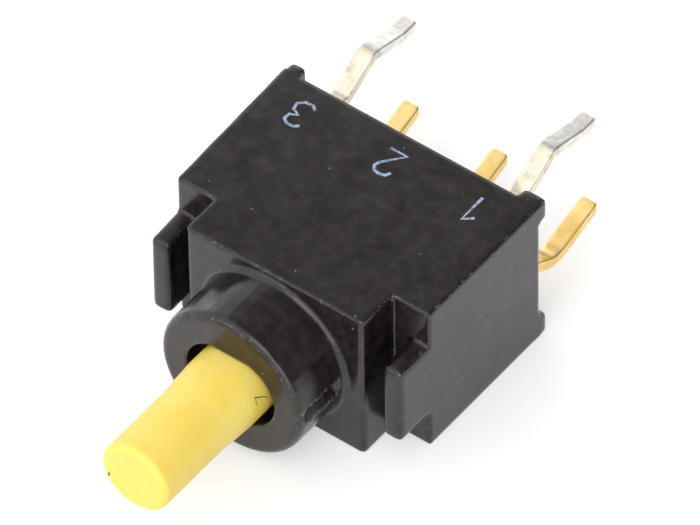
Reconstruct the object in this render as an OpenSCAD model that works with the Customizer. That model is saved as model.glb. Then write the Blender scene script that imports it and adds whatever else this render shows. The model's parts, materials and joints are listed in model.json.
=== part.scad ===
// Subminiature toggle switch for a circuit board, lying on its side.
// X runs along the row of terminals, +Y points at the board, +Z is the plain upper side.
// The origin is the middle of the board's surface, at half the height of the body.

/* [Housing] */
// Room between the outer terminals' pads and the walls
pad_room = 0.1; // [0.04:0.01:0.5]
// Depth of the wide body, without nose and feet
body_depth = 4.15; // [4:0.05:4.8]
// Height of the nose above and below the collar's root ring
collar_brow = 0.13; // [0.1:0.01:0.4]
// Width of the nose beside the collar's root ring
nose_shoulder = 0.45; // [0.3:0.01:0.6]
// How far the nose stands out of the wide body
nose_depth = 1.1; // [1:0.05:1.4]
// Thickness of the moulded walls
wall = 0.5; // [0.4:0.02:0.56]
// Slope of the left side, which leans outwards towards the board, in degrees
side_lean = 1.9; // [0:0.1:2.5]
// Radius of the upright edges of nose and ears
corner_r = 0.14; // [0.08:0.01:0.2]
// Radius of the other outer edges
edge_r = 0.06; // [0.03:0.01:0.08]

/* [Ears] */
// Thickness of the two ears beside the nose
ear_t = 0.53; // [0.42:0.01:0.6]
// Height of an ear
ear_h = 2.28; // [1.5:0.02:3]
// Radius of the ears' level edges
ear_edge_r = 0.13; // [0.06:0.01:0.16]

/* [Feet] */
// How far the feet stand out of the back
foot_h = 0.3; // [0.2:0.02:0.6]
// Width of the two feet at the left end
foot_left_w = 0.4; // [0.3:0.02:0.7]
// Width of the two feet at the right end
foot_right_w = 0.62; // [0.3:0.02:0.7]
// Height of a foot at its tip
foot_tip_h = 0.58; // [0.4:0.02:0.7]
// How much higher a lower foot is at its root
foot_draft = 0.25; // [0.05:0.01:0.3]
// How far the left feet stand in from the side
foot_inset = 0.05; // [0.02:0.01:0.1]
// Radius of the upright edges of a foot
foot_r = 0.11; // [0.06:0.01:0.14]

/* [Collar] */
// Thickness of the collar round its bore
collar_wall = 0.49; // [0.44:0.01:0.52]
// How far the collar stands out of the nose
collar_len = 1.67; // [1.6:0.01:2.2]
// Radius of the collar's front edge
collar_edge_r = 0.19; // [0.1:0.01:0.3]
// How much the root ring is larger than the collar
ring_step = 0.06; // [0.04:0.01:0.1]
// Length of the root ring, which is round outside
ring_len = 0.12; // [0.11:0.01:0.2]
// Room between the tipped lever and the end of its slot
slot_gap = 0.012; // [0.01:0.001:0.06]
// Room above and below the lever in its slot
slot_side_gap = 0.03; // [0.02:0.01:0.08]
// Thickness of the wall that holds the slot
slot_wall = 0.8; // [0.6:0.01:0.8]
// Room between the ball and the bore behind the slot
ball_room = 0.25; // [0.24:0.01:0.27]

/* [Lever] */
// Radius of the lever
lever_r = 0.93; // [0.85:0.01:1.03]
// How far the lever stands out of the collar
lever_reach = 3.53; // [2:0.01:6]
// Radius of the edge at the lever's tip
lever_edge_r = 0.16; // [0.05:0.01:0.4]
// How much the lever is wider at its root, in radius
root_step = 0.06; // [0.02:0.01:0.08]
// How far the root stands out of the collar
root_reach = 0.4; // [0.2:0.05:0.6]
// Length over which the root narrows to the lever
root_taper = 0.95; // [0.5:0.05:1.2]
// How much the ball in the collar is larger than the lever, in radius
ball_step = 0.32; // [0.29:0.01:0.35]
// How much the stub behind the ball is thinner than the lever, in radius
stub_step = 0.08; // [0.03:0.01:0.18]
// Length of the stub from the pivot
stub_len = 2.35; // [2:0.05:2.4]
// Thickness of the stub's wall round the spring
stub_wall = 0.35; // [0.3:0.01:0.4]
// Where the floor of the spring's bore lies behind the pivot
spring_floor = 0.5; // [0.46:0.01:0.6]
// How far the lever tips to each side, in degrees
throw_angle = 8.5; // [7.5:0.1:11]

/* [Pivot] */
// How far the pivot lies behind the collar's front
pivot_depth = 1.47; // [1.47:0.01:1.5]
// Radius of the pivot pin
pin_r = 0.3; // [0.22:0.01:0.32]
// How far each end of the pin stands out of the ball
pin_grip = 0.37; // [0.3:0.01:0.38]
// Room between parts that turn or slide on each other
run_gap = 0.03; // [0.02:0.005:0.04]
// Room between parts that are pushed together
fit_gap = 0.01; // [0.005:0.005:0.02]

/* [Seal ring] */
// Radius of the seal ring's cord
seal_cord_r = 0.16; // [0.12:0.01:0.16]

/* [Retainer] */
// Thickness of the plate that keeps the pin in its seats
retainer_t = 0.5; // [0.3:0.01:0.55]
// Room round the stub in the plate's hole
retainer_room = 0.35; // [0.31:0.01:0.37]
// Distance from the pivot to the plate
retainer_back = 0.7; // [0.65:0.01:0.75]

/* [Plunger and spring] */
// How far the plunger reaches into the stub
plunger_grip = 0.75; // [0.5:0.01:0.9]
// Radius of the spring's wire
wire_r = 0.05; // [0.04:0.005:0.06]
// Number of open turns of the spring
spring_turns = 5; // [3:1:6]

/* [Rocker contact] */
// Thickness of the rocker's strip
rocker_t = 0.2; // [0.15:0.01:0.24]
// Half the width of the rocker's strip
rocker_half = 0.7; // [0.66:0.01:0.9]
// Half the length of the curved cradle
cradle_half = 0.95; // [0.9:0.01:1.05]
// Slope of the wings, in degrees
wing_slope = 10; // [8:0.5:11]
// Radius of the rib that touches a fixed contact
rib_r = 0.2; // [0.16:0.01:0.22]
// Rocker's tilt for each degree of the lever
rocker_ratio = 0.5; // [0.4:0.05:0.55]

/* [Terminals] */
// Distance between neighbouring terminals
pitch = 2.54; // [2.3:0.01:2.8]
// Distance between the row of terminals and the row of legs
row_gap = 2.54; // [2.4:0.01:2.7]
// Width of a terminal's pin
pin_w = 0.47; // [0.38:0.01:0.52]
// Thickness of a terminal's strip
strip_t = 0.27; // [0.22:0.01:0.3]
// Width of a terminal's inner pad
pad_w = 0.8; // [0.6:0.02:0.84]
// Height of the ridge that carries the rocker
fulcrum_h = 0.61; // [0.55:0.01:0.65]
// Radius of the ridge's top
fulcrum_r = 0.2; // [0.16:0.01:0.22]
// How far inwards of its terminal's middle a fixed contact lies
contact_inset = 0.1; // [0.02:0.01:0.14]
// Radius of a fixed contact
contact_r = 0.22; // [0.18:0.01:0.24]
// Where the terminals start to bend, behind the board's surface
pin_bend_y = 0.45; // [0.4:0.01:0.6]
// Slope of the first bend, in degrees
pin_fall = 31; // [20:1:34]
// Length of the falling stretch along Y
pin_fall_len = 0.93; // [0.8:0.01:1]
// Slope of the stretch up to the tip, in degrees
pin_rise = 17; // [10:1:20]
// How far the terminals reach behind the board's surface
pin_reach = 3; // [2.8:0.01:3.6]

/* [Bracket] */
// Width of a leg
leg_w = 0.45; // [0.38:0.01:0.52]
// Thickness of the bracket
leg_t = 0.25; // [0.2:0.01:0.3]
// Room between the bracket and the wall above it
leg_room = 0.105; // [0.05:0.005:0.15]
// Where the legs start to bend, behind the board's surface
leg_bend_y = 0.3; // [0.25:0.01:0.5]
// Slope of the legs up to their kink, in degrees
leg_rise = 29; // [20:1:30]
// Length of each sloped stretch along Y
leg_slope_len = 1.05; // [0.9:0.01:1.1]
// Slope from the kink down to the tip, in degrees
leg_fall = 15.5; // [10:0.5:20]
// How far the legs reach behind the board's surface
leg_reach = 2.9; // [2.8:0.01:3.4]

/* [Base] */
// Thickness of the block that holds the terminals
base_t = 0.78; // [0.7:0.01:0.85]
// Thickness of the sealing resin
resin_t = 0.25; // [0.2:0.01:0.3]
// How far the resin lies below the back face
resin_sink = 0.1; // [0.05:0.01:0.15]

/* [Hidden] */
$fn = 48;

// Radii from the lever outwards to the nose
ball_r = lever_r + ball_step;
bore_r = ball_r + ball_room;
root_r = lever_r + root_step;
collar_r = bore_r + collar_wall;
ring_r = collar_r + ring_step;
stub_r = lever_r - stub_step;
spring_bore_r = stub_r - stub_wall;
retainer_hole_r = stub_r + retainer_room;

// Size of the body and the nose
body_w = 2 * (pitch + pad_w / 2 + pad_room + wall);
body_h = 2 * (ring_r + collar_brow);
nose_w = 2 * (ring_r + nose_shoulder);
body_side = body_w / 2;

// Places along Y, from the feet to the tip of the lever
back_y = -foot_h;
step_y = back_y - body_depth;
nose_y = step_y - nose_depth;
collar_y = nose_y - collar_len;
pivot_y = collar_y + pivot_depth;
tip_y = collar_y - lever_reach;

// Room inside the housing
cavity_w = body_w - 2 * wall;
cavity_h = body_h - 2 * wall;
cavity_y = step_y + wall;
pocket_w = nose_w - 2 * wall;
pocket_y = pivot_y + retainer_back;
bore_y = collar_y + slot_wall;

// Slot for the lever, just longer than the tipped root needs at the collar's front
slot_shift = pivot_depth * tan(throw_angle);
slot_end_r = root_r / cos(throw_angle) + slot_gap;
slot_half_h = lever_r + slot_side_gap;

// Pin and the seats that hold its ends
pin_half = ball_r + pin_grip;
seat_half = pin_half + run_gap;

// Seal ring, against the bore, the slot's wall and the ball
ring_centre_y = bore_y + seal_cord_r + fit_gap;
ring_centre_r = bore_r - seal_cord_r - fit_gap;

// Stack of parts from the back face to the rocker
resin_y = back_y - resin_sink - resin_t;
base_y = resin_y - base_t;
pad_y = base_y - strip_t;
fulcrum_y = pad_y - fulcrum_h;
hinge_y = fulcrum_y + fulcrum_r;
touch_gap = 0.02;
cradle_r = fulcrum_y - touch_gap - rocker_t - pivot_y;
plunger_tip = cradle_r - touch_gap;
plunger_r = spring_bore_r - run_gap;
plunger_end = stub_len - plunger_grip;

// Rocker in the plane of its tilt
rocker_tilt = rocker_ratio * throw_angle;
cradle_mid_r = cradle_r + rocker_t / 2;
wing_y = pivot_y + sqrt(pow(cradle_mid_r, 2) - pow(cradle_half, 2));
contact_x = pitch - contact_inset;
wing_end_x = contact_x + rib_r;
rib_y = wing_y + (contact_x - cradle_half) * tan(wing_slope);
contact_y = hinge_y + (rib_y - hinge_y) * cos(rocker_tilt) + contact_x * sin(rocker_tilt)
    + rib_r + fit_gap;
notch_half = 0.28;
notch_depth = 0.15;
guide_half = 0.2;
guide_rise = 0.2;
guide_foot = 0.25;

// Heights of the two rows
leg_z = cavity_h / 2 - leg_room - leg_t / 2;
pin_z = leg_z - row_gap;

// The bracket's bridge, under the resin
bridge_sink = 0.5;
bridge_d = 0.45;
bridge_y = resin_y - bridge_sink;

// Bend radii of the strips, on their middle line, and the steps of each bend
pad_bend_r = 0.3;
pin_bend_r = 0.8;
leg_bend_r = 0.3;
bend_steps = 10;

// Steps of each turn of the spring and sides of its wire
coil_steps = 16;
wire_sides = 8;

// Corner radii of the strips' ends
pad_corner_r = 0.1;
pin_corner_r = 0.12;
leg_corner_r = 0.06;

// Colours
BLACK = [0.16, 0.15, 0.15];
YELLOW = [0.96, 0.8, 0.2];
GOLD = [0.9, 0.72, 0.3];
TIN = [0.75, 0.74, 0.72];
STEEL = [0.6, 0.61, 0.63];
RUBBER = [0.08, 0.08, 0.08];
RESIN = [0.12, 0.1, 0.09];
CREAM = [0.9, 0.88, 0.8];

// A rectangle with round corners, about the origin
module rounded_rect(w, d, r) {
    square([w - 2 * r, d], center = true);
    square([w, d - 2 * r], center = true);
    for (sx = [-1, 1], sy = [-1, 1])
        translate([sx * (w / 2 - r), sy * (d / 2 - r)]) circle(r);
}

// A block from y0 to y1, with upright edges of radius r and the rest of radius e
module rounded_block(w, y0, y1, h, r, e) {
    translate([0, (y0 + y1) / 2, 0]) intersection() {
        linear_extrude(h, center = true) rounded_rect(w, y1 - y0, r);
        rotate([90, 0, 0]) linear_extrude(y1 - y0, center = true) rounded_rect(w, h, e);
        rotate([90, 0, 90]) linear_extrude(w, center = true) rounded_rect(y1 - y0, h, e);
    }
}

// A plain box from y0 to y1
module box(w, y0, y1, h) {
    translate([-w / 2, y0, -h / 2]) cube([w, y1 - y0, h]);
}

// Turns a solid that stands on Z so that it runs along -Y from y0
module along_lever(y0) {
    translate([0, y0, 0]) rotate([90, 0, 0]) children();
}

// A round bar along -Y whose front edge has radius e
module round_bar(r, len, e) {
    rotate_extrude() {
        square([r, len - e]);
        square([r - e, len]);
        translate([r - e, len - e]) intersection() {
            circle(e);
            square(e);
        }
    }
}

// Direction of the stretch after point i, in degrees
function heading(p, i) = atan2(p[i + 1][1] - p[i][1], p[i + 1][0] - p[i][0]);

// Edge of a bent strip at distance o to the left of its middle line
function bend_edge(p, r, o) = let (last = len(p) - 1) concat(
    [p[0] + o * [-sin(heading(p, 0)), cos(heading(p, 0))]],
    [for (i = [1:last - 1]) let (
        a = heading(p, i - 1),
        turn = heading(p, i) - a,
        side = sign(turn),
        back = r * tan(abs(turn) / 2),
        centre = p[i] - back * [cos(a), sin(a)] + side * r * [-sin(a), cos(a)])
        for (k = [0:bend_steps]) let (b = a + turn * k / bend_steps)
            centre + (o - side * r) * [-sin(b), cos(b)]],
    [p[last] + o * [-sin(heading(p, last - 1)), cos(heading(p, last - 1))]]);

// Section of a bent strip in the plane of Y and Z
module bent_strip(p, t, r) {
    near = bend_edge(p, r, t / 2);
    far = bend_edge(p, r, -t / 2);
    polygon(concat(near, [for (i = [len(far) - 1:-1:0]) far[i]]));
}

// Sets a section in the plane of Y and Z and gives it a width along X
module across(w) {
    rotate([90, 0, 90]) linear_extrude(w, center = true) children();
}

// A foot at one corner: outer_x is its outer side and sz says whether it is above or below
module foot(outer_x, sz, w) {
    root = back_y - wall / 2;
    draft = sz < 0 ? foot_draft * (foot_h + wall / 2) / foot_h : edge_r;
    intersection() {
        translate([outer_x - sign(outer_x) * w / 2, root / 2, 0])
            linear_extrude(body_h, center = true) rounded_rect(w, -root, foot_r);
        across(2 * body_w) polygon([for (p = [[root, 0], [-edge_r, 0], [0, edge_r],
            [0, foot_tip_h - edge_r], [-edge_r, foot_tip_h], [root, foot_tip_h + draft]])
            [p[0], sz * (body_h / 2 - p[1])]]);
    }
}

// Turns a solid about the front of the left side, so that it leans outwards towards the board
module leaning() {
    translate([-body_side, nose_y, 0]) rotate(side_lean) children();
}

// Body, nose and ears; the left side and its ear lean outwards
module body_blocks() {
    ear_len = cavity_y - nose_y;
    rounded_block(body_w, step_y, back_y, body_h, edge_r, edge_r);
    rounded_block(nose_w, nose_y, cavity_y, body_h, corner_r, edge_r);
    translate([body_side - ear_t / 2, 0, 0])
        rounded_block(ear_t, nose_y, cavity_y, ear_h, corner_r, ear_edge_r);
    leaning() translate([ear_t / 2, 0, 0])
        rounded_block(ear_t, 0, ear_len, ear_h, corner_r, ear_edge_r);
    intersection() {
        leaning() translate([wall / 2, 0, 0])
            rounded_block(wall, 0, body_depth + 2 * nose_depth, body_h, edge_r, edge_r);
        box(2 * body_w, step_y, back_y, 2 * body_h);
    }
}

// Ring at the collar's root, a quarter round in section
module root_ring() {
    inner_r = ring_r - ring_len;
    rotate_extrude() {
        square([inner_r, ring_len]);
        translate([inner_r, 0]) intersection() {
            circle(ring_len);
            square(ring_len);
        }
    }
}

// Outside of the housing, with collar and feet, as one moulding
module housing_shell() {
    left_foot_x = foot_inset - body_side - (back_y - nose_y) * tan(side_lean);
    body_blocks();
    along_lever(nose_y) round_bar(collar_r, collar_len, collar_edge_r);
    along_lever(nose_y) root_ring();
    for (sz = [-1, 1]) {
        foot(left_foot_x, sz, foot_left_w);
        foot(body_side, sz, foot_right_w);
    }
}

// Seats for the pin's ends, open to the back so that the pin goes in from there
module pin_seats() {
    translate([0, pivot_y, 0]) cylinder(r = pin_r + fit_gap, h = 2 * seat_half, center = true);
    box(2 * (pin_r + fit_gap), pivot_y, pocket_y + wall, 2 * seat_half);
}

// Slot in the collar's front: as round as the lever's root at its ends, and level above and below
module lever_slot() {
    slot_depth = slot_wall + 2 * wall;
    intersection() {
        along_lever(bore_y + wall) linear_extrude(slot_depth) {
            for (side = [-1, 1]) translate([side * slot_shift, 0]) circle(slot_end_r);
            square(2 * [slot_shift, slot_end_r], center = true);
        }
        box(4 * slot_end_r, collar_y - wall, bore_y + wall, 2 * slot_half_h);
    }
}

module housing() {
    color(BLACK) difference() {
        housing_shell();
        box(cavity_w, cavity_y, wall, cavity_h);
        box(pocket_w, pocket_y, cavity_y + wall, cavity_h);
        along_lever(pocket_y + wall) cylinder(r = bore_r, h = pocket_y + wall - bore_y);
        pin_seats();
        lever_slot();
    }
}

// Root of the lever: wider to both sides, level above and below
module lever_root() {
    root_end_y = collar_y - root_reach;
    intersection() {
        along_lever(pivot_y) {
            cylinder(r = root_r, h = pivot_y - root_end_y);
            translate([0, 0, pivot_y - root_end_y])
                cylinder(r1 = root_r, r2 = lever_r, h = root_taper);
        }
        box(2 * root_r, root_end_y - root_taper, pivot_y, 2 * lever_r);
    }
}

module lever() {
    color(YELLOW) difference() {
        union() {
            along_lever(pivot_y) round_bar(lever_r, pivot_y - tip_y, lever_edge_r);
            lever_root();
            translate([0, pivot_y, 0]) sphere(ball_r);
            along_lever(pivot_y + stub_len) cylinder(r = stub_r, h = stub_len);
        }
        along_lever(pivot_y + stub_len + wall)
            cylinder(r = spring_bore_r, h = stub_len + wall - spring_floor);
        translate([0, pivot_y, 0]) cylinder(r = pin_r + run_gap, h = 4 * ball_r, center = true);
    }
}

module pivot_pin() {
    color(STEEL) translate([0, pivot_y, 0]) cylinder(r = pin_r, h = 2 * pin_half, center = true);
}

// Plate pushed into the nose from behind, with a finger behind each end of the pin
module pin_retainer() {
    finger_y = pivot_y + pin_r + fit_gap;
    finger_h = pin_grip;
    color(BLACK) difference() {
        union() {
            box(pocket_w - 2 * fit_gap, pocket_y, pocket_y + retainer_t, cavity_h - 2 * fit_gap);
            for (side = [-1, 1])
                translate([0, 0, side * (pin_half - finger_h / 2)])
                    box(2 * pin_r, finger_y, pocket_y + retainer_t, finger_h);
        }
        along_lever(pocket_y + retainer_t + wall) cylinder(r = retainer_hole_r, h = wall + retainer_t);
        translate([0, pivot_y, 0]) sphere(ball_r + run_gap);
    }
}

module seal_ring() {
    color(RUBBER) along_lever(ring_centre_y)
        rotate_extrude() translate([ring_centre_r, 0]) circle(seal_cord_r);
}

module plunger() {
    color(CREAM) {
        along_lever(pivot_y + plunger_tip - plunger_r)
            cylinder(r = plunger_r, h = plunger_tip - plunger_r - plunger_end);
        translate([0, pivot_y + plunger_tip - plunger_r, 0]) sphere(plunger_r);
    }
}

// Height of the coil's middle line after u turns: a closed turn, open turns, a closed turn
function coil_rise(u, room) = let (
    closed = 2.4 * wire_r,
    open = (room - 2 * wire_r - 2 * closed) / spring_turns)
    closed * min(u, 1) + open * max(0, min(u - 1, spring_turns)) + closed * max(0, u - 1 - spring_turns);

// Compression spring between the floor of the stub's bore and the plunger
module plunger_spring() {
    room = plunger_end - spring_floor - 2 * fit_gap;
    coil_r = spring_bore_r - run_gap - wire_r;
    rings = coil_steps * (spring_turns + 2);
    points = [for (i = [0:rings], k = [0:wire_sides - 1]) let (
        turn = 360 * i / coil_steps,
        r = coil_r + wire_r * cos(360 * k / wire_sides))
        [r * cos(turn), r * sin(turn), wire_r * (1 + sin(360 * k / wire_sides))
            + coil_rise(i / coil_steps, room)]];
    sides = [for (i = [0:rings - 1], k = [0:wire_sides - 1]) let (
        a = i * wire_sides,
        next = (k + 1) % wire_sides)
        [a + k, a + k + wire_sides, a + next + wire_sides, a + next]];
    start_face = [for (k = [0:wire_sides - 1]) k];
    end_face = [for (k = [wire_sides - 1:-1:0]) rings * wire_sides + k];
    color(STEEL) along_lever(pivot_y + plunger_end - fit_gap)
        polyhedron(points, concat([start_face], sides, [end_face]));
}

// Side view of the rocker: a cradle about the pivot, two sloped wings and a rib under each end
module rocker_profile() {
    intersection() {
        translate([0, pivot_y]) difference() {
            circle(cradle_r + rocker_t, $fn = 96);
            circle(cradle_r, $fn = 96);
        }
        translate([-cradle_half, wing_y - rocker_t]) square([2 * cradle_half, 4 * rocker_t]);
    }
    for (side = [0, 1]) mirror([side, 0]) {
        translate([cradle_half, wing_y]) {
            circle(rocker_t / 2);
            rotate(wing_slope) translate([0, -rocker_t / 2])
                square([(wing_end_x - cradle_half) / cos(wing_slope), rocker_t]);
        }
        translate([contact_x, rib_y]) circle(rib_r);
    }
}

module rocker_contact() {
    color(GOLD) difference() {
        linear_extrude(2 * rocker_half, center = true) rocker_profile();
        for (side = [-1, 1])
            translate([0, 0, side * (rocker_half - notch_depth / 2 + wall / 2)])
                box(2 * notch_half, pivot_y, pad_y, notch_depth + wall);
    }
}

// Low round head on a terminal's pad, under one end of the rocker
module fixed_contact(side) {
    color(GOLD) translate([side * contact_x, 0, 0]) along_lever(pad_y)
        round_bar(contact_r, pad_y - contact_y, (pad_y - contact_y) / 2);
}

module fixed_contact_left() {
    fixed_contact(-1);
}

module fixed_contact_right() {
    fixed_contact(1);
}

// Terminal: a pad on the block's face, a stem through it and a kinked pin behind
module terminal(x) {
    pad_mid = pad_y + strip_t / 2;
    pad_top = pad_w / 2 + contact_r / 2;
    low_y = pin_bend_y + pin_fall_len;
    low_z = pin_z - pin_fall_len * tan(pin_fall);
    path = [[pad_mid, pad_top], [pad_mid, pin_z], [pin_bend_y, pin_z], [low_y, low_z],
        [pin_reach, low_z + (pin_reach - low_y) * tan(pin_rise)]];
    shoulder_y = base_y + pad_bend_r;
    translate([x, 0, 0]) intersection() {
        across(pad_w) union() {
            bent_strip([for (i = [0:2]) path[i]], strip_t, pad_bend_r);
            bent_strip([for (i = [0:3]) i == 0 ? [back_y, pin_z] : path[i + 1]], strip_t,
                pin_bend_r);
        }
        linear_extrude(2 * body_h, center = true) {
            translate([0, (pad_y + shoulder_y) / 2])
                rounded_rect(pad_w, shoulder_y - pad_y, pad_corner_r);
            translate([0, (base_y + pin_reach) / 2])
                rounded_rect(pin_w, pin_reach - base_y, pin_corner_r);
        }
    }
}

module terminal_left() {
    color(GOLD) terminal(-pitch);
}

// The middle terminal also carries the ridge that the rocker tilts on
module terminal_common() {
    ridge_half = rocker_half - notch_depth - 2 * fit_gap;
    color(GOLD) {
        terminal(0);
        linear_extrude(2 * ridge_half, center = true) {
            translate([0, hinge_y]) circle(fulcrum_r);
            translate([-fulcrum_r, hinge_y]) square([2 * fulcrum_r, pad_y - hinge_y]);
        }
    }
}

module terminal_right() {
    color(GOLD) terminal(pitch);
}

// Stamped bracket: a bridge in the block's rebate with a kinked leg at each end
module support_bracket() {
    kink_y = leg_bend_y + leg_slope_len;
    kink_z = leg_z + leg_slope_len * tan(leg_rise);
    flat_y = kink_y + leg_slope_len;
    flat_z = kink_z - leg_slope_len * tan(leg_fall);
    path = [[bridge_y, leg_z], [leg_bend_y, leg_z], [kink_y, kink_z], [flat_y, flat_z],
        [leg_reach, flat_z]];
    color(TIN) intersection() {
        across(body_w) bent_strip(path, leg_t, leg_bend_r);
        linear_extrude(2 * body_h, center = true) {
            translate([0, bridge_y + bridge_d / 2])
                rounded_rect(2 * pitch + leg_w, bridge_d, pad_corner_r);
            for (side = [-1, 1])
                translate([side * pitch, (bridge_y + leg_reach) / 2])
                    rounded_rect(leg_w, leg_reach - bridge_y, leg_corner_r);
        }
    }
}

module all_terminals() {
    for (i = [-1:1]) terminal(i * pitch);
}

// Moulded block that closes the back, with two posts on feet that guide the rocker's notches
module base_block() {
    guide_in = rocker_half - notch_depth + touch_gap;
    guide_out = cavity_h / 2 - wall;
    guide_y = pivot_y + cradle_r - guide_rise;
    rebate_z = leg_z - leg_t / 2;
    color(BLACK) difference() {
        union() {
            box(cavity_w - 2 * fit_gap, base_y, resin_y, cavity_h - 2 * fit_gap);
            for (side = [-1, 1])
                translate([0, 0, side * (guide_in + guide_out) / 2]) {
                    box(2 * guide_half, guide_y, resin_y, guide_out - guide_in);
                    box(pad_w + 2 * guide_foot, pad_y - guide_foot, resin_y, guide_out - guide_in);
                }
        }
        translate([0, 0, rebate_z + wall]) box(cavity_w, bridge_y, resin_y + wall, 2 * wall);
        all_terminals();
    }
}

// Hardened resin over the block, round the stems of the terminals and the legs
module resin_seal() {
    color(RESIN) difference() {
        box(cavity_w, resin_y, resin_y + resin_t, cavity_h);
        all_terminals();
        support_bracket();
    }
}

housing();
lever();
pivot_pin();
pin_retainer();
seal_ring();
plunger();
plunger_spring();
rocker_contact();
fixed_contact_left();
fixed_contact_right();
terminal_left();
terminal_common();
terminal_right();
base_block();
support_bracket();
resin_seal();
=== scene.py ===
"""Looks of a subminiature toggle switch that lies on its side on a pale table."""
import json
import math
import random
import bmesh
import bpy
from mathutils import Matrix, Vector


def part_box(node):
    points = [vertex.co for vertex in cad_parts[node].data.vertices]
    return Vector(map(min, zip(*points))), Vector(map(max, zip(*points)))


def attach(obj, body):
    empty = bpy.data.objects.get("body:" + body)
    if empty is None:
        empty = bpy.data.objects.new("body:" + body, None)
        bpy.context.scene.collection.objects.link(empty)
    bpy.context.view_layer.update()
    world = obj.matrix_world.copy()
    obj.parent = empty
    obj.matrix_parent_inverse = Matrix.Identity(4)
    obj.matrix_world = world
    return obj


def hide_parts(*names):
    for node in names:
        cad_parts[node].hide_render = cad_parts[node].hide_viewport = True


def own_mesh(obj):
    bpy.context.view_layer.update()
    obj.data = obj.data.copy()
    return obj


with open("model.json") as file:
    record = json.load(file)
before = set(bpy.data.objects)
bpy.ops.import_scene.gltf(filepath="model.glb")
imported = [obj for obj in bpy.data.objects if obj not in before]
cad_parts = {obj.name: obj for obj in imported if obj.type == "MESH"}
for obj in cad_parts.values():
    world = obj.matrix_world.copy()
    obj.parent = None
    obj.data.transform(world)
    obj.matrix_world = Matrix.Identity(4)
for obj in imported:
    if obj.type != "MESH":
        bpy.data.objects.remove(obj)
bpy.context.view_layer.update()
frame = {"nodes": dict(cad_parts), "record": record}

MM = 0.001

# The photograph's frame and the camera that was worked out from it
PHOTO_W = 700
FOCAL_PX = 12649
SENSOR_MM = 36
CAMERA_TARGET_MM = (-0.092, -2.624, -0.001)
CAMERA_ELEVATION = 47.379
CAMERA_AZIMUTH = 37.809
CAMERA_ROLL = -0.898
CAMERA_DISTANCE_MM = 286.575
NEAR_CLIP = 0.01

# Places on the model that the finish is set to, read from the frame
HOUSING_LOW, HOUSING_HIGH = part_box("housing")
SPRING_LOW, SPRING_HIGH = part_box("plunger_spring")
FLOOR_Z = HOUSING_LOW.z - 0.01 * MM

# Sizes of the spring; a closed turn rises by so many wire radii
WIRE_R = 0.05 * MM
OPEN_TURNS = 5
CLOSED_RISE = 2.4

# Printed pin numbers: the line of each on a unit square, and their sizes
DIGITS = (
    ((0.2, 0.76), (0.48, 1.0), (0.48, 0.0)),
    ((0.04, 0.78), (0.12, 0.94), (0.3, 1.0), (0.5, 0.95), (0.6, 0.8), (0.55, 0.62),
     (0.04, 0.0), (0.64, 0.0)),
    ((0.04, 0.86), (0.18, 0.98), (0.4, 0.99), (0.57, 0.87), (0.56, 0.66), (0.33, 0.55),
     (0.58, 0.42), (0.63, 0.2), (0.46, 0.03), (0.2, 0.0), (0.03, 0.14)),
)
DIGIT_MM = 0.8
STROKE_MM = 0.085
INK_MM = 0.006
NUMBER_Y = -0.85 * MM

# Scratches on the lever, in millimetres: radius, and points on its surface
SCRATCHES = (
    (0.013, ((0.905, -7.47, 0.4), (0.93, -7.36, 0.33), (0.943, -7.28, 0.29),
             (0.978, -7.112, 0.154))),
    (0.01, ((0.909, -7.462, 0.387), (0.945, -7.474, 0.288), (0.969, -7.465, 0.2))),
    (0.02, ((-0.69, -10.745, -0.34), (-0.705, -10.745, -0.27), (-0.67, -10.745, -0.22))),
)

# Distance in metres under which a node's loose points are one
MERGE = 0.0002 * MM

# Fine meshes, in millimetres, with the smoothing of each, and where ears and feet begin
HOUSING_VOXEL_MM = 0.045
STRIP_VOXEL_MM = 0.022
SKIN_STEPS = 2
SOFT_STEPS = 14
PIN_STEPS = 26
LEG_STEPS = 8
KEEP_SHARE = 0.58
EAR_IN = 2.95
EAR_BACK = -4.5
FOOT_FRONT = -0.26

# The scar of the gate on the collar, in millimetres and degrees about the lever's axis. It
# wavers at its upper edge and in its depth, and its ends slope over a share of its length
GATE_SEED = 7
GATE_POINTS = 24
GATE_FROM, GATE_TO = -7.04, -5.74
GATE_LOWER, GATE_UPPER = -7, 6
GATE_WAVER = 1.2
GATE_DEPTH = 0.27
DEPTH_WAVER = 0.15
GATE_END = 1 / 12
FRAY_WIDTH = 2.2
FRAY_PAST = 0.05
INSIDE_COLLAR = 1.75

# Pale dots on the upper edges of the collar's front and of the ring at its root, partly rubbing
# and partly a painted highlight, in millimetres
RIM_R, RIM_WIDTH, RIM_RUB_AND_HIGHLIGHT = 1.9, 0.045, 0.32
ROOT_R, ROOT_R_FAR, ROOT_Y = 1.98, 2.08, -5.5

# Where the tin on the legs turns from cream to grey, in millimetres, with the dark line past it
TIN_WANDER = 0.35
TIN_GREY_FROM, TIN_GREY_TO = 1.5, 1.58
TIN_CRACK_TO = 1.78

# Light: the room's brightness by direction, and the lamps in millimetres, where 1 is white
BRIGHT_SIDE = (-0.6, -0.8, 0.0)
ROOM_FROM, ROOM_TO = -0.3, 0.35
ROOM_DIM, ROOM_BRIGHT = 0.3, 1.3
LAMPS = (
    ("window", (-55, -100, 70), 60, 0.7, (0, -3, 0), 0.02),
    ("front_fill", (75, -65, 28), 60, 1.6, (0, -6, 0), 0.02),
    ("overhead", (35, -60, 85), 70, 1.75, (0, -5, 0), 0.02),
    ("rear_panel", (-26, 33, 22), 36, 1.2, (-1, 0, 2), 0.3),
    ("left_panel", (-56, 34, 16), 34, 0.8, (-1, -6, 1), 0.3),
)
WATTS_PER_WHITE = 4
CARD_HALF = 400 * MM
CARD_COLOUR = "#dcdcdc"
CARD_GLOW = 0.42


def linear(code):
    """Linear colour of an sRGB hex code, with alpha."""
    parts = [int(code[i:i + 2], 16) / 255 for i in (1, 3, 5)]
    return [c / 12.92 if c <= 0.04045 else ((c + 0.055) / 1.055) ** 2.4 for c in parts] + [1.0]


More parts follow.
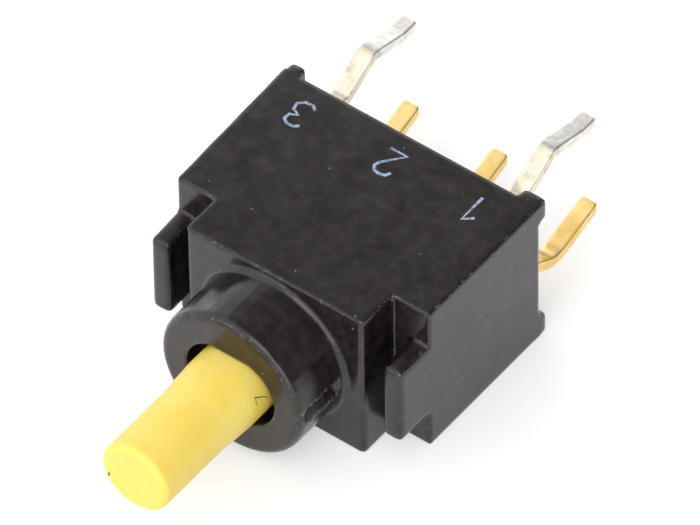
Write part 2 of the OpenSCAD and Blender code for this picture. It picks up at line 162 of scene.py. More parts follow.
def per_mm(count):
    """A pattern's scale, per metre, for so many features in a millimetre."""
    return count / MM


def add(tree, kind, inputs=None, stops=(), **settings):
    """Adds a node and gives its outputs. An input takes a number, a hex colour or the
    socket that feeds it."""
    made = tree.nodes.new(kind)
    for key, value in settings.items():
        setattr(made, key, value)
    for place, code in stops:
        element = made.color_ramp.elements.new(place)
        element.color = linear(code)
    if stops:
        made.color_ramp.elements.remove(made.color_ramp.elements[0])
        made.color_ramp.elements.remove(made.color_ramp.elements[-1])
    for key, value in (inputs or {}).items():
        if isinstance(value, bpy.types.NodeSocket):
            tree.links.new(value, made.inputs[key])
        else:
            made.inputs[key].default_value = linear(value) if isinstance(value, str) else value
    return made.outputs


def new_material(name):
    """An empty material and its tree."""
    made = bpy.data.materials.new(name)
    made.use_nodes = True
    made.node_tree.nodes.clear()
    return made, made.node_tree


def finish_material(material, shader):
    """Puts a shader on the material's surface."""
    add(material.node_tree, "ShaderNodeOutputMaterial", {"Surface": shader["BSDF"]})
    return material


def black_nylon():
    """Glass-filled nylon, injection moulded: near black, with a satin skin that reflects in soft
    clouds, fine grain, a few pale specks of filler, and edges rubbed pale in dots. Where a piece
    is marked as rubbed it has more of those: on the gate scar's edges that is fraying, and on the
    upper part of the collar's rims it is partly a painted highlight. Where it is torn it is
    duller."""
    material, tree = new_material("black_moulded_nylon")
    place = add(tree, "ShaderNodeTexCoord")["Object"]
    clouds = add(tree, "ShaderNodeTexNoise", {
        "Vector": place, "Scale": per_mm(1.3), "Detail": 5.0, "Roughness": 0.6})["Fac"]
    mottle = add(tree, "ShaderNodeTexNoise", {
        "Vector": place, "Scale": per_mm(3.2), "Detail": 3.0, "Roughness": 0.55})["Fac"]
    grain = add(tree, "ShaderNodeTexNoise", {
        "Vector": place, "Scale": per_mm(15), "Detail": 2.0, "Roughness": 0.6})["Fac"]
    cells = add(tree, "ShaderNodeTexVoronoi", {"Vector": place, "Scale": per_mm(3.1)})
    near = add(tree, "ShaderNodeMapRange", {
        "Value": cells["Distance"], "From Min": 0.06, "From Max": 0.1,
        "To Min": 1.0, "To Max": 0.0})["Result"]
    draw = add(tree, "ShaderNodeSeparateColor", {"Color": cells["Color"]})["Red"]
    rare = add(tree, "ShaderNodeMath", {0: draw, 1: 0.88}, operation="GREATER_THAN")["Value"]
    specks = add(tree, "ShaderNodeMath", {0: near, 1: rare}, operation="MULTIPLY")["Value"]
    round_normal = add(tree, "ShaderNodeBevel", {"Radius": 0.09 * MM}, samples=4)["Normal"]
    true_normal = add(tree, "ShaderNodeNewGeometry")["Normal"]
    turn = add(tree, "ShaderNodeVectorMath", {0: round_normal, 1: true_normal},
               operation="DOT_PRODUCT")["Value"]
    edge = add(tree, "ShaderNodeMapRange", {
        "Value": turn, "From Min": 0.996, "From Max": 0.965})["Result"]
    dust = add(tree, "ShaderNodeTexNoise", {
        "Vector": place, "Scale": per_mm(11), "Detail": 2.0})["Fac"]
    dots = add(tree, "ShaderNodeMapRange", {
        "Value": dust, "From Min": 0.58, "From Max": 0.64})["Result"]
    rubbed = add(tree, "ShaderNodeMath", {0: edge, 1: dots}, operation="MULTIPLY")["Value"]
    # On the collar's rims this mark is partly a painted highlight; on the gate scar's edges it is
    # fraying.
    marked = add(tree, "ShaderNodeAttribute", attribute_name="rubbed")["Fac"]
    flecks = add(tree, "ShaderNodeMapRange", {
        "Value": dust, "From Min": 0.56, "From Max": 0.62})["Result"]
    frayed_and_rim_highlight = add(tree, "ShaderNodeMath", {0: marked, 1: flecks}, operation="MULTIPLY")["Value"]
    torn = add(tree, "ShaderNodeAttribute", attribute_name="torn")["Fac"]
    pale = add(tree, "ShaderNodeMath", {0: specks, 1: rubbed}, operation="MAXIMUM")["Value"]
    pale = add(tree, "ShaderNodeMath", {0: pale, 1: frayed_and_rim_highlight}, operation="MAXIMUM")["Value"]
    skin = add(tree, "ShaderNodeValToRGB", {"Fac": mottle}, stops=(
        (0.36, "#130c0d"), (0.5, "#1c1415"), (0.64, "#281f20")))["Color"]
    colour = add(tree, "ShaderNodeMix", {0: pale, 6: skin, 7: "#6f6a66"}, data_type="RGBA")[2]
    rough = add(tree, "ShaderNodeMapRange", {
        "Value": clouds, "From Min": 0.3, "From Max": 0.7,
        "To Min": 0.15, "To Max": 0.3})["Result"]
    rough = add(tree, "ShaderNodeMath", {0: torn, 1: 0.12, 2: rough},
                operation="MULTIPLY_ADD")["Value"]
    fine = add(tree, "ShaderNodeBump", {"Height": grain, "Distance": 0.0011 * MM})["Normal"]
    waves = add(tree, "ShaderNodeBump", {
        "Height": mottle, "Distance": 0.0035 * MM, "Normal": fine})["Normal"]
    return finish_material(material, add(tree, "ShaderNodeBsdfPrincipled", {
        "Base Color": colour, "Roughness": rough, "Normal": waves, "IOR": 1.53}))


def base_plastic():
    """Black phenolic, compression moulded: duller than the housing and a little brown."""
    material, tree = new_material("black_moulded_phenolic")
    place = add(tree, "ShaderNodeTexCoord")["Object"]
    flow = add(tree, "ShaderNodeTexNoise", {
        "Vector": place, "Scale": per_mm(3), "Detail": 4.0, "Roughness": 0.6})["Fac"]
    grain = add(tree, "ShaderNodeTexNoise", {"Vector": place, "Scale": per_mm(20)})["Fac"]
    colour = add(tree, "ShaderNodeValToRGB", {"Fac": flow}, stops=(
        (0.3, "#171412"), (0.7, "#221d1a")))["Color"]
    rough = add(tree, "ShaderNodeMapRange", {
        "Value": flow, "From Min": 0.3, "From Max": 0.7,
        "To Min": 0.5, "To Max": 0.65})["Result"]
    relief = add(tree, "ShaderNodeBump", {"Height": grain, "Distance": 0.002 * MM})["Normal"]
    return finish_material(material, add(tree, "ShaderNodeBsdfPrincipled", {
        "Base Color": colour, "Roughness": rough, "Normal": relief, "IOR": 1.55}))


def poured_resin():
    """Black epoxy, poured and cured: glossy, with slow waves and a dull patch here and there."""
    material, tree = new_material("black_poured_epoxy")
    place = add(tree, "ShaderNodeTexCoord")["Object"]
    waves = add(tree, "ShaderNodeTexNoise", {
        "Vector": place, "Scale": per_mm(0.8), "Detail": 2.0})["Fac"]
    bloom = add(tree, "ShaderNodeTexNoise", {
        "Vector": place, "Scale": per_mm(2.5), "Detail": 4.0})["Fac"]
    colour = add(tree, "ShaderNodeValToRGB", {"Fac": bloom}, stops=(
        (0.3, "#120f0e"), (0.7, "#1c1816")))["Color"]
    rough = add(tree, "ShaderNodeMapRange", {
        "Value": bloom, "From Min": 0.4, "From Max": 0.7,
        "To Min": 0.12, "To Max": 0.34})["Result"]
    relief = add(tree, "ShaderNodeBump", {"Height": waves, "Distance": 0.05 * MM})["Normal"]
    return finish_material(material, add(tree, "ShaderNodeBsdfPrincipled", {
        "Base Color": colour, "Roughness": rough, "Normal": relief, "IOR": 1.56}))


def yellow_nylon():
    """Unfilled nylon, injection moulded in yellow: satin and lightly cloudy, and a little
    light goes into it, which softens its shaded side."""
    material, tree = new_material("yellow_moulded_nylon")
    place = add(tree, "ShaderNodeTexCoord")["Object"]
    clouds = add(tree, "ShaderNodeTexNoise", {
        "Vector": place, "Scale": per_mm(0.9), "Detail": 3.0})["Fac"]
    grain = add(tree, "ShaderNodeTexNoise", {
        "Vector": place, "Scale": per_mm(12), "Detail": 3.0, "Roughness": 0.6})["Fac"]
    colour = add(tree, "ShaderNodeValToRGB", {"Fac": clouds}, stops=(
        (0.35, "#f5d862"), (0.5, "#f8dc69"), (0.65, "#fadf72")))["Color"]
    rough = add(tree, "ShaderNodeMapRange", {
        "Value": clouds, "From Min": 0.3, "From Max": 0.7,
        "To Min": 0.38, "To Max": 0.5})["Result"]
    relief = add(tree, "ShaderNodeBump", {"Height": grain, "Distance": 0.0015 * MM})["Normal"]
    return finish_material(material, add(tree, "ShaderNodeBsdfPrincipled", {
        "Base Color": colour, "Roughness": rough, "Normal": relief, "IOR": 1.53,
        "Subsurface Weight": 0.35, "Subsurface Radius": (0.8, 0.65, 0.3),
        "Subsurface Scale": 0.4 * MM}))


def gold_plate():
    """Hard gold on stamped copper alloy: warm and bright, with soft rolling marks along the
    strip and duller patches where the plating is thin."""
    material, tree = new_material("hard_gold_plating")
    place = add(tree, "ShaderNodeTexCoord")["Object"]
    along = add(tree, "ShaderNodeMapping", {
        "Vector": place, "Scale": (1.0, 0.12, 1.0)})["Vector"]
    lines = add(tree, "ShaderNodeTexNoise", {
        "Vector": along, "Scale": per_mm(20), "Detail": 2.0})["Fac"]
    patches = add(tree, "ShaderNodeTexNoise", {
        "Vector": place, "Scale": per_mm(1.8), "Detail": 4.0, "Roughness": 0.6})["Fac"]
    colour = add(tree, "ShaderNodeValToRGB", {"Fac": patches}, stops=(
        (0.3, "#e9c577"), (0.5, "#f4d48a"), (0.7, "#fbe09b")))["Color"]
    rough = add(tree, "ShaderNodeMapRange", {
        "Value": patches, "From Min": 0.3, "From Max": 0.7,
        "To Min": 0.4, "To Max": 0.26})["Result"]
    relief = add(tree, "ShaderNodeBump", {"Height": lines, "Distance": 0.003 * MM})["Normal"]
    return finish_material(material, add(tree, "ShaderNodeBsdfPrincipled", {
        "Base Color": colour, "Roughness": rough, "Normal": relief, "Metallic": 1.0}))


def tin_plate():
    """Steel strip dipped in tin: pale and bright, wavy where the tin ran. It is creamy near
    the body and grey and blotched past the kink, with a dark line where the bend cracked it."""
    material, tree = new_material("hot_tinned_steel")
    place = add(tree, "ShaderNodeTexCoord")["Object"]
    reach = add(tree, "ShaderNodeSeparateXYZ", {"Vector": place})["Y"]
    runs = add(tree, "ShaderNodeTexNoise", {
        "Vector": place, "Scale": per_mm(2.4), "Detail": 4.0, "Roughness": 0.6})["Fac"]
    blotches = add(tree, "ShaderNodeTexNoise", {
        "Vector": place, "Scale": per_mm(6), "Detail": 3.0, "Roughness": 0.65})["Fac"]
    grain = add(tree, "ShaderNodeTexNoise", {
        "Vector": place, "Scale": per_mm(16), "Detail": 3.0})["Fac"]
    cream = add(tree, "ShaderNodeValToRGB", {"Fac": runs}, stops=(
        (0.32, "#c6bfae"), (0.46, "#e4dbc5"), (0.62, "#ece4d1")))["Color"]
    grey = add(tree, "ShaderNodeValToRGB", {"Fac": blotches}, stops=(
        (0.34, "#d6d5d0"), (0.5, "#e6e3dc"), (0.66, "#f1ede3")))["Color"]
    wander = add(tree, "ShaderNodeMath", {0: blotches, 1: TIN_WANDER * MM, 2: reach},
                 operation="MULTIPLY_ADD")["Value"]
    past = add(tree, "ShaderNodeMapRange", {
        "Value": wander, "From Min": TIN_GREY_FROM * MM, "From Max": TIN_GREY_TO * MM})["Result"]
    crack = add(tree, "ShaderNodeMapRange", {
        "Value": wander, "From Min": TIN_GREY_TO * MM, "From Max": TIN_CRACK_TO * MM,
        "To Min": 0.75, "To Max": 0.0})["Result"]
    cracked = add(tree, "ShaderNodeMath", {0: crack, 1: past}, operation="MULTIPLY")["Value"]
    both = add(tree, "ShaderNodeMix", {0: past, 6: cream, 7: grey}, data_type="RGBA")[2]
    colour = add(tree, "ShaderNodeMix", {0: cracked, 6: both, 7: "#b4b5b0"}, data_type="RGBA")[2]
    rough = add(tree, "ShaderNodeMapRange", {
        "Value": runs, "From Min": 0.3, "From Max": 0.7,
        "To Min": 0.46, "To Max": 0.28})["Result"]
    fine = add(tree, "ShaderNodeBump", {"Height": grain, "Distance": 0.002 * MM})["Normal"]
    relief = add(tree, "ShaderNodeBump", {
        "Height": runs, "Distance": 0.014 * MM, "Normal": fine})["Normal"]
    return finish_material(material, add(tree, "ShaderNodeBsdfPrincipled", {
        "Base Color": colour, "Roughness": rough, "Normal": relief, "Metallic": 1.0}))


def drawn_steel():
    """Drawn stainless steel wire and pin: bright, with fine lines."""
    material, tree = new_material("drawn_stainless_steel")
    place = add(tree, "ShaderNodeTexCoord")["Object"]
    lines = add(tree, "ShaderNodeTexNoise", {
        "Vector": place, "Scale": per_mm(18), "Detail": 2.0})["Fac"]
    colour = add(tree, "ShaderNodeValToRGB", {"Fac": lines}, stops=(
        (0.3, "#b4b4b4"), (0.7, "#cfcfce")))["Color"]
    rough = add(tree, "ShaderNodeMapRange", {
        "Value": lines, "From Min": 0.3, "From Max": 0.7,
        "To Min": 0.2, "To Max": 0.34})["Result"]
    return finish_material(material, add(tree, "ShaderNodeBsdfPrincipled", {
        "Base Color": colour, "Roughness": rough, "Metallic": 1.0}))


def seal_rubber():
    """Nitrile rubber, moulded: black and dull, with a light bloom."""
    material, tree = new_material("moulded_nitrile_rubber")
    place = add(tree, "ShaderNodeTexCoord")["Object"]
    bloom = add(tree, "ShaderNodeTexNoise", {
        "Vector": place, "Scale": per_mm(3), "Detail": 3.0})["Fac"]
    colour = add(tree, "ShaderNodeValToRGB", {"Fac": bloom}, stops=(
        (0.3, "#141414"), (0.7, "#202020")))["Color"]
    rough = add(tree, "ShaderNodeMapRange", {
        "Value": bloom, "From Min": 0.3, "From Max": 0.7,
        "To Min": 0.5, "To Max": 0.7})["Result"]
    return finish_material(material, add(tree, "ShaderNodeBsdfPrincipled", {
        "Base Color": colour, "Roughness": rough}))


def cream_nylon():
    """Unfilled nylon, injection moulded without colour: cream and a little waxy."""
    material, tree = new_material("natural_moulded_nylon")
    place = add(tree, "ShaderNodeTexCoord")["Object"]
    clouds = add(tree, "ShaderNodeTexNoise", {
        "Vector": place, "Scale": per_mm(2), "Detail": 3.0})["Fac"]
    colour = add(tree, "ShaderNodeValToRGB", {"Fac": clouds}, stops=(
        (0.3, "#d8d0b8"), (0.7, "#e6dfca")))["Color"]
    rough = add(tree, "ShaderNodeMapRange", {
        "Value": clouds, "From Min": 0.3, "From Max": 0.7,
        "To Min": 0.35, "To Max": 0.45})["Result"]
    return finish_material(material, add(tree, "ShaderNodeBsdfPrincipled", {
        "Base Color": colour, "Roughness": rough, "IOR": 1.53}))


def printing_ink():
    """Pale blue pad-printing ink: matt and thin, so that the black shows through in places."""
    material, tree = new_material("pad_printed_ink")
    place = add(tree, "ShaderNodeTexCoord")["Object"]
    cover = add(tree, "ShaderNodeTexNoise", {
        "Vector": place, "Scale": per_mm(9), "Detail": 3.0, "Roughness": 0.6})["Fac"]
    colour = add(tree, "ShaderNodeValToRGB", {"Fac": cover}, stops=(
        (0.34, "#5d6a7e"), (0.5, "#93a6c2"), (0.66, "#a9bad2")))["Color"]
    rough = add(tree, "ShaderNodeMapRange", {
        "Value": cover, "From Min": 0.3, "From Max": 0.7,
        "To Min": 0.45, "To Max": 0.65})["Result"]
    return finish_material(material, add(tree, "ShaderNodeBsdfPrincipled", {
        "Base Color": colour, "Roughness": rough}))


def scratch_dirt():
    """Dirt worked into a scratch in nylon: brown, matt and broken."""
    material, tree = new_material("dirt_in_scratch")
    place = add(tree, "ShaderNodeTexCoord")["Object"]
    crumbs = add(tree, "ShaderNodeTexNoise", {
        "Vector": place, "Scale": per_mm(14), "Detail": 2.0})["Fac"]
    colour = add(tree, "ShaderNodeValToRGB", {"Fac": crumbs}, stops=(
        (0.35, "#3a2f0c"), (0.65, "#80691f")))["Color"]
    rough = add(tree, "ShaderNodeMapRange", {
        "Value": crumbs, "From Min": 0.3, "From Max": 0.7,
        "To Min": 0.7, "To Max": 0.9})["Result"]
    return finish_material(material, add(tree, "ShaderNodeBsdfPrincipled", {
        "Base Color": colour, "Roughness": rough}))


def white_card():
    """Smooth white card under the switch, which looks white to the camera and in gloss."""
    material, tree = new_material("white_card")
    seen_by = add(tree, "ShaderNodeLightPath")
    seen = add(tree, "ShaderNodeMath", {
        0: seen_by["Is Camera Ray"], 1: seen_by["Is Glossy Ray"]}, operation="MAXIMUM")["Value"]
    seen = add(tree, "ShaderNodeMath", {
        0: seen, 1: seen_by["Is Transmission Ray"]}, operation="MAXIMUM")["Value"]
    glow = add(tree, "ShaderNodeMath", {0: seen, 1: CARD_GLOW}, operation="MULTIPLY")["Value"]
    return finish_material(material, add(tree, "ShaderNodeBsdfPrincipled", {
        "Base Color": CARD_COLOUR, "Roughness": 0.9, "Specular IOR Level": 0.0,
        "Emission Color": "#ffffff", "Emission Strength": glow}))


MATERIALS = {
    "black_nylon": black_nylon(),
    "yellow_nylon": yellow_nylon(),
    "steel": drawn_steel(),
    "black_base": base_plastic(),
    "seal_rubber": seal_rubber(),
    "cream_nylon": cream_nylon(),
    "gold_plate": gold_plate(),
    "tinned_steel": tin_plate(),
    "black_resin": poured_resin(),
}
SLOTS = {part["node"]: part["material_slot"] for part in frame["record"]["subparts"]}
BODIES = {node: body for body, nodes in frame["record"]["behaviour"]["bodies"].items()
          for node in nodes}


def finish_nodes():
    """Gives each model node the material of its slot."""
    for name, node in frame["nodes"].items():
        node.data.materials.clear()
        node.data.materials.append(MATERIALS[SLOTS[name]])


def stand_for(piece, node):
    """Puts a finished piece in a node's place, on its body, and hides the node."""
    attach(piece, BODIES[node])
    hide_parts(node)


def settle(piece):
    """Turns a piece's modifiers into its plain mesh."""
    graph = bpy.context.evaluated_depsgraph_get()
    piece.data = bpy.data.meshes.new_from_object(piece.evaluated_get(graph))
    piece.modifiers.clear()


def is_soft(place):
    """Whether a point, in millimetres, is on an ear or a foot, whose edges are rounder."""
    on_ear = abs(place.x) > EAR_IN and place.y < EAR_BACK
    return on_ear or place.y > FOOT_FRONT


def mark_rim_wear_and_highlight(mesh, rubbed):
    """Marks the upper part of the collar's front rim and of its root ring as rubbed: pale dots
    that are partly rubbing and partly a painted highlight, laid only on the upper side, where the
    light falls.
    """
    for vertex in mesh.vertices:
        place = vertex.co
        radius = math.hypot(place.x, place.z)
        on_rim = abs(radius - RIM_R) < RIM_WIDTH and place.y < GATE_FROM
        on_root = ROOT_R < radius < ROOT_R_FAR and abs(place.y - ROOT_Y) < RIM_WIDTH
        # Painted highlight: the pale dots go only on the upper side of the rims, where the light
        # falls.
        if (on_rim or on_root) and place.z > -place.x / 2:
            rubbed.data[vertex.index].value = RIM_RUB_AND_HIGHLIGHT


def tear_gate(mesh):
    """The scar where the moulding was torn off its runner, low on the collar's right side: a
    shallow pit along the collar, marked as torn, with ragged edges that are marked as rubbed."""
    draw = random.Random(GATE_SEED)
    ragged = [draw.uniform(-1, 1) for _ in range(GATE_POINTS)]
    torn = mesh.attributes.new("torn", "FLOAT", "POINT")
    rubbed = mesh.attributes.new("rubbed", "FLOAT", "POINT")
    for vertex in mesh.vertices:
        place = vertex.co
        radius = math.hypot(place.x, place.z)
        if place.x < 0 or place.y > GATE_TO or radius < INSIDE_COLLAR:
            continue
        turn = math.degrees(math.atan2(place.z, place.x))
        along = (place.y - GATE_FROM) / (GATE_TO - GATE_FROM)
        spot = min(max(along, 0), 0.999) * (GATE_POINTS - 1)
        first, rest = int(spot), spot - int(spot)
        waver = ragged[first] * (1 - rest) + ragged[first + 1] * rest
        upper = GATE_UPPER + GATE_WAVER * waver
        if 0 < along < 1 and GATE_LOWER < turn < upper:
            share = (turn - GATE_LOWER) / (upper - GATE_LOWER)
            slope = min(1, along / GATE_END, (1 - along) / GATE_END)
            sink = GATE_DEPTH * share * (1 + DEPTH_WAVER * waver) * slope
            place.x *= (radius - sink) / radius
            place.z *= (radius - sink) / radius
            torn.data[vertex.index].value = 1.0
        near = min(abs(turn - upper), abs(turn - GATE_LOWER)) / FRAY_WIDTH
        if along > -FRAY_PAST and near < 1:
            rubbed.data[vertex.index].value = 1 - near
    mark_rim_wear_and_highlight(mesh, rubbed)


def eased(node, voxel_mm, steps, soft_steps=0, mark=None):
    """A piece in a node's place with corners as round as its making leaves them: the node's
    shape on a fine even mesh, smoothed, the ears and feet more, then marked and thinned."""
    mesh = frame["nodes"][node].data.copy()
    mesh.transform(Matrix.Scale(1 / MM, 4))
    made = bmesh.new()
    made.from_mesh(mesh)
    bmesh.ops.remove_doubles(made, verts=made.verts, dist=MERGE / MM)
    made.to_mesh(mesh)
    made.free()
    piece = bpy.data.objects.new(node + "_finished", mesh)
    bpy.context.scene.collection.objects.link(piece)
    even = piece.modifiers.new("even", "REMESH")
    even.mode = "VOXEL"
    even.voxel_size = voxel_mm
    even.use_smooth_shade = True
    settle(piece)
    soft = piece.vertex_groups.new(name="soft")
    soft.add([v.index for v in piece.data.vertices if is_soft(v.co)], 1.0, "REPLACE")
    for group, count in (("", steps), ("soft", soft_steps)):
        ease = piece.modifiers.new("ease", "SMOOTH")
        ease.factor = 0.5
        ease.iterations = count
        ease.vertex_group = group
    settle(piece)
    if mark:
        mark(piece.data)
    thin = piece.modifiers.new("thin", "DECIMATE")
    thin.ratio = KEEP_SHARE
    settle(piece)
    piece.data.transform(Matrix.Scale(MM, 4))
    piece.data.materials.clear()
    piece.data.materials.append(MATERIALS[SLOTS[node]])
    stand_for(piece, node)


def coil_tree(material):
    """Geometry nodes for a compression spring along Z with a closed turn at each end."""
    tree = bpy.data.node_groups.new("spring_coil", "GeometryNodeTree")
    for name in ("Length", "Coil Radius", "Wire Radius", "Open Turns"):
        tree.interface.new_socket(name=name, in_out="INPUT", socket_type="NodeSocketFloat")
    tree.interface.new_socket(name="Spring", in_out="OUTPUT",
                              socket_type="NodeSocketGeometry")
    size = add(tree, "NodeGroupInput")
    turns = add(tree, "ShaderNodeMath", {0: size["Open Turns"], 1: 2.0})["Value"]
    last = add(tree, "ShaderNodeMath", {0: size["Open Turns"], 1: 1.0})["Value"]
    closed = add(tree, "ShaderNodeMath", {0: size["Wire Radius"], 1: CLOSED_RISE},
                 operation="MULTIPLY")["Value"]
    ends = add(tree, "ShaderNodeMath", {0: size["Wire Radius"], 1: 2.0, 2: closed},
               operation="MULTIPLY_ADD")["Value"]
    ends = add(tree, "ShaderNodeMath", {0: ends, 1: closed})["Value"]
    open_rise = add(tree, "ShaderNodeMath", {0: size["Length"], 1: ends},
                    operation="SUBTRACT")["Value"]
    spiral = add(tree, "GeometryNodeCurveSpiral", {
        "Resolution": 32, "Rotations": turns, "Start Radius": size["Coil Radius"],
        "End Radius": size["Coil Radius"], "Height": 0.0})["Curve"]
    along = add(tree, "GeometryNodeSplineParameter")["Factor"]
    turn = add(tree, "ShaderNodeMath", {0: along, 1: turns}, operation="MULTIPLY")["Value"]
    first_rise = add(tree, "ShaderNodeMapRange", {
        "Value": turn, "From Min": 0.0, "From Max": 1.0, "To Min": size["Wire Radius"],
        "To Max": add(tree, "ShaderNodeMath", {0: size["Wire Radius"], 1: closed})["Value"]})
    middle_rise = add(tree, "ShaderNodeMapRange", {
        "Value": turn, "From Min": 1.0, "From Max": last, "To Min": 0.0, "To Max": open_rise})
    last_rise = add(tree, "ShaderNodeMapRange", {
        "Value": turn, "From Min": last, "From Max": turns, "To Min": 0.0, "To Max": closed})
    rise = add(tree, "ShaderNodeMath", {
        0: first_rise["Result"], 1: middle_rise["Result"]})["Value"]
    rise = add(tree, "ShaderNodeMath", {0: rise, 1: last_rise["Result"]})["Value"]
    offset = add(tree, "ShaderNodeCombineXYZ", {"Z": rise})["Vector"]
    path = add(tree, "GeometryNodeSetPosition", {
        "Geometry": spiral, "Offset": offset})["Geometry"]
    section = add(tree, "GeometryNodeCurvePrimitiveCircle", {
        "Resolution": 14, "Radius": size["Wire Radius"]})["Curve"]
    wire = add(tree, "GeometryNodeCurveToMesh", {
        "Curve": path, "Profile Curve": section, "Fill Caps": True})["Mesh"]
    solid = add(tree, "GeometryNodeRealizeInstances", {"Geometry": wire})["Geometry"]
    painted = add(tree, "GeometryNodeSetMaterial", {"Geometry": solid, "Material": material})
    add(tree, "NodeGroupOutput", {"Spring": painted["Geometry"]})
    return tree


def wind_spring():
    """The plunger's spring, wound from round wire inside the lever's stub."""
    length = SPRING_HIGH.y - SPRING_LOW.y
    name = "plunger_spring_coil"
    piece = bpy.data.objects.new(name, bpy.data.meshes.new(name))
    bpy.context.scene.collection.objects.link(piece)
    coil = piece.modifiers.new("coil", "NODES")
    coil.node_group = coil_tree(MATERIALS[SLOTS["plunger_spring"]])
    sizes = {"Length": length, "Coil Radius": SPRING_HIGH.x - WIRE_R, "Wire Radius": WIRE_R,
             "Open Turns": OPEN_TURNS}
    for socket in coil.node_group.interface.items_tree:
        if socket.in_out == "INPUT":
            coil[socket.identifier] = float(sizes[socket.name])
    settle(piece)
    piece.data.transform(Matrix.Translation((0, SPRING_HIGH.y, 0)) @ Matrix.Rotation(
        math.radians(90), 4, "X"))
    piece.data.polygons.foreach_set("use_smooth", [True] * len(piece.data.polygons))
    stand_for(piece, "plunger_spring")
    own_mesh(piece)


def line_mesh(points, radius):
    """The mesh of a round line through points."""
    curve = bpy.data.curves.new("line", "CURVE")
    curve.dimensions = "3D"
    curve.bevel_depth = radius
    curve.bevel_resolution = 2
    curve.use_fill_caps = True
    line = curve.splines.new("POLY")
    line.points.add(len(points) - 1)
    for point, place in zip(line.points, points):
        point.co = (*place, 1)
    piece = bpy.data.objects.new("line", curve)
    bpy.context.scene.collection.objects.link(piece)
    graph = bpy.context.evaluated_depsgraph_get()
    mesh = bpy.data.meshes.new_from_object(piece.evaluated_get(graph))
    bpy.data.objects.remove(piece)
    return mesh


def pin_numbers():
    """Plain numbers printed on the upper side, one over each terminal, to be read from
    behind."""
    ink = printing_ink()
    for number, (node, strokes) in enumerate(zip(
            ("terminal_right", "terminal_common", "terminal_left"), DIGITS), start=1):
        low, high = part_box(node)
        mesh = line_mesh([(x * DIGIT_MM * MM, y * DIGIT_MM * MM, 0) for x, y in strokes],
                         STROKE_MM * MM / 2)
        flat = Matrix.Diagonal((-1, -1, INK_MM / STROKE_MM, 1))
        middle = max(x for x, y in strokes) * DIGIT_MM * MM / 2
        mesh.transform(Matrix.Translation(
            ((low.x + high.x) / 2 + middle, NUMBER_Y, HOUSING_HIGH.z)) @ flat)
        mesh.materials.append(ink)
        digit = bpy.data.objects.new(f"printed_number_{number}", mesh)
        bpy.context.scene.collection.objects.link(digit)
        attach(digit, "frame")


def lever_scratches():
    """Fine scratches with dirt in them, on the lever's right side and at its tip."""
    dirt = scratch_dirt()
    for number, (radius_mm, points_mm) in enumerate(SCRATCHES, start=1):
        mesh = line_mesh([Vector(place) * MM for place in points_mm], radius_mm * MM)
        mesh.materials.append(dirt)
        scratch = bpy.data.objects.new(f"lever_scratch_{number}", mesh)
        bpy.context.scene.collection.objects.link(scratch)
        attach(scratch, "lever")


def place_camera():
    """A long lens at the photograph's angle."""
    elevation = math.radians(CAMERA_ELEVATION)
    azimuth = math.radians(CAMERA_AZIMUTH)
    back = Vector((math.cos(elevation) * math.sin(azimuth),
                   -math.cos(elevation) * math.cos(azimuth), math.sin(elevation)))
    level = Vector((0, 0, 1)).cross(back).normalized()
    right = Matrix.Rotation(math.radians(CAMERA_ROLL), 3, back) @ level
    data = bpy.data.cameras.new("camera")
    data.sensor_width = SENSOR_MM
    data.lens = FOCAL_PX * SENSOR_MM / PHOTO_W
    data.clip_start = NEAR_CLIP
    camera = bpy.data.objects.new("camera", data)
    turn = Matrix((right, back.cross(right), back)).transposed().to_4x4()
    camera.matrix_world = Matrix.Translation(
        (Vector(CAMERA_TARGET_MM) + back * CAMERA_DISTANCE_MM) * MM) @ turn
    bpy.context.scene.collection.objects.link(camera)
    bpy.context.scene.camera = camera


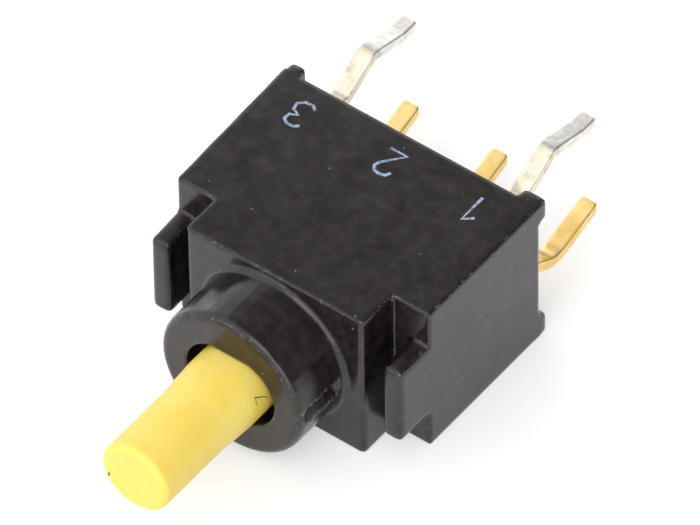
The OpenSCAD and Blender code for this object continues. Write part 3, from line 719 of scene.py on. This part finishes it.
def softbox(name, place_mm, size_mm, brightness, aim_mm, fade):
    """A square soft lamp of a given brightness, where 1 is white, that faces a point and
    fades towards its edges over a share of its width."""
    data = bpy.data.lights.new(name, "AREA")
    data.shape = "SQUARE"
    data.size = size_mm * MM
    data.energy = WATTS_PER_WHITE * brightness * data.size ** 2
    lamp = bpy.data.objects.new(name, data)
    lamp.location = Vector(place_mm) * MM
    aim = Vector(aim_mm) * MM - lamp.location
    lamp.rotation_euler = aim.to_track_quat("-Z", "Y").to_euler()
    lamp.visible_camera = False
    bpy.context.scene.collection.objects.link(lamp)
    data.use_nodes = True
    tree = data.node_tree
    tree.nodes.clear()
    across = add(tree, "ShaderNodeNewGeometry")["Parametric"]
    offset = add(tree, "ShaderNodeVectorMath", {0: across, 1: (0.5, 0.5, 0.0)},
                 operation="SUBTRACT")["Vector"]
    apart = add(tree, "ShaderNodeSeparateXYZ", {
        "Vector": add(tree, "ShaderNodeVectorMath", {0: offset}, operation="ABSOLUTE")["Vector"]})
    glow = 1.0
    for side in ("X", "Y"):
        edge = add(tree, "ShaderNodeMapRange", {
            "Value": apart[side], "From Min": 0.5, "From Max": 0.5 - fade},
            interpolation_type="SMOOTHSTEP")["Result"]
        glow = add(tree, "ShaderNodeMath", {0: edge, 1: glow}, operation="MULTIPLY")["Value"]
    shine = add(tree, "ShaderNodeEmission", {"Color": "#ffffff", "Strength": glow})
    add(tree, "ShaderNodeOutputLight", {"Surface": shine["Emission"]})


def light_the_room():
    """A white room that is brightest in front and dim at the back right; white to the camera."""
    world = bpy.data.worlds.new("white_room")
    bpy.context.scene.world = world
    world.use_nodes = True
    tree = world.node_tree
    tree.nodes.clear()
    direction = add(tree, "ShaderNodeTexCoord")["Generated"]
    forward = add(tree, "ShaderNodeVectorMath", {0: direction, 1: BRIGHT_SIDE},
                  operation="DOT_PRODUCT")["Value"]
    glow = add(tree, "ShaderNodeMapRange", {
        "Value": forward, "From Min": ROOM_FROM, "From Max": ROOM_TO, "To Min": ROOM_DIM,
        "To Max": ROOM_BRIGHT}, interpolation_type="SMOOTHSTEP")["Result"]
    camera = add(tree, "ShaderNodeLightPath")["Is Camera Ray"]
    seen = add(tree, "ShaderNodeMix", {0: camera, 2: glow, 3: 1.0})[0]
    sky = add(tree, "ShaderNodeBackground", {"Color": "#ffffff", "Strength": seen})
    add(tree, "ShaderNodeOutputWorld", {"Surface": sky["Background"]})


def lay_card():
    """The card that the switch lies on."""
    mesh = bpy.data.meshes.new("card")
    mesh.from_pydata([(x * CARD_HALF, y * CARD_HALF, FLOOR_Z)
                      for x, y in ((-1, -1), (1, -1), (1, 1), (-1, 1))], [], [(0, 1, 2, 3)])
    mesh.materials.append(white_card())
    card = bpy.data.objects.new("card", mesh)
    bpy.context.scene.collection.objects.link(card)


place_camera()
finish_nodes()
for terminal in ("terminal_left", "terminal_common", "terminal_right"):
    eased(terminal, STRIP_VOXEL_MM, PIN_STEPS)
eased("support_bracket", STRIP_VOXEL_MM, LEG_STEPS)
eased("housing", HOUSING_VOXEL_MM, SKIN_STEPS, SOFT_STEPS, tear_gate)
wind_spring()
pin_numbers()
lever_scratches()
light_the_room()
for lamp in LAMPS:
    softbox(*lamp)
lay_card()
bpy.context.scene.view_settings.view_transform = "Standard"
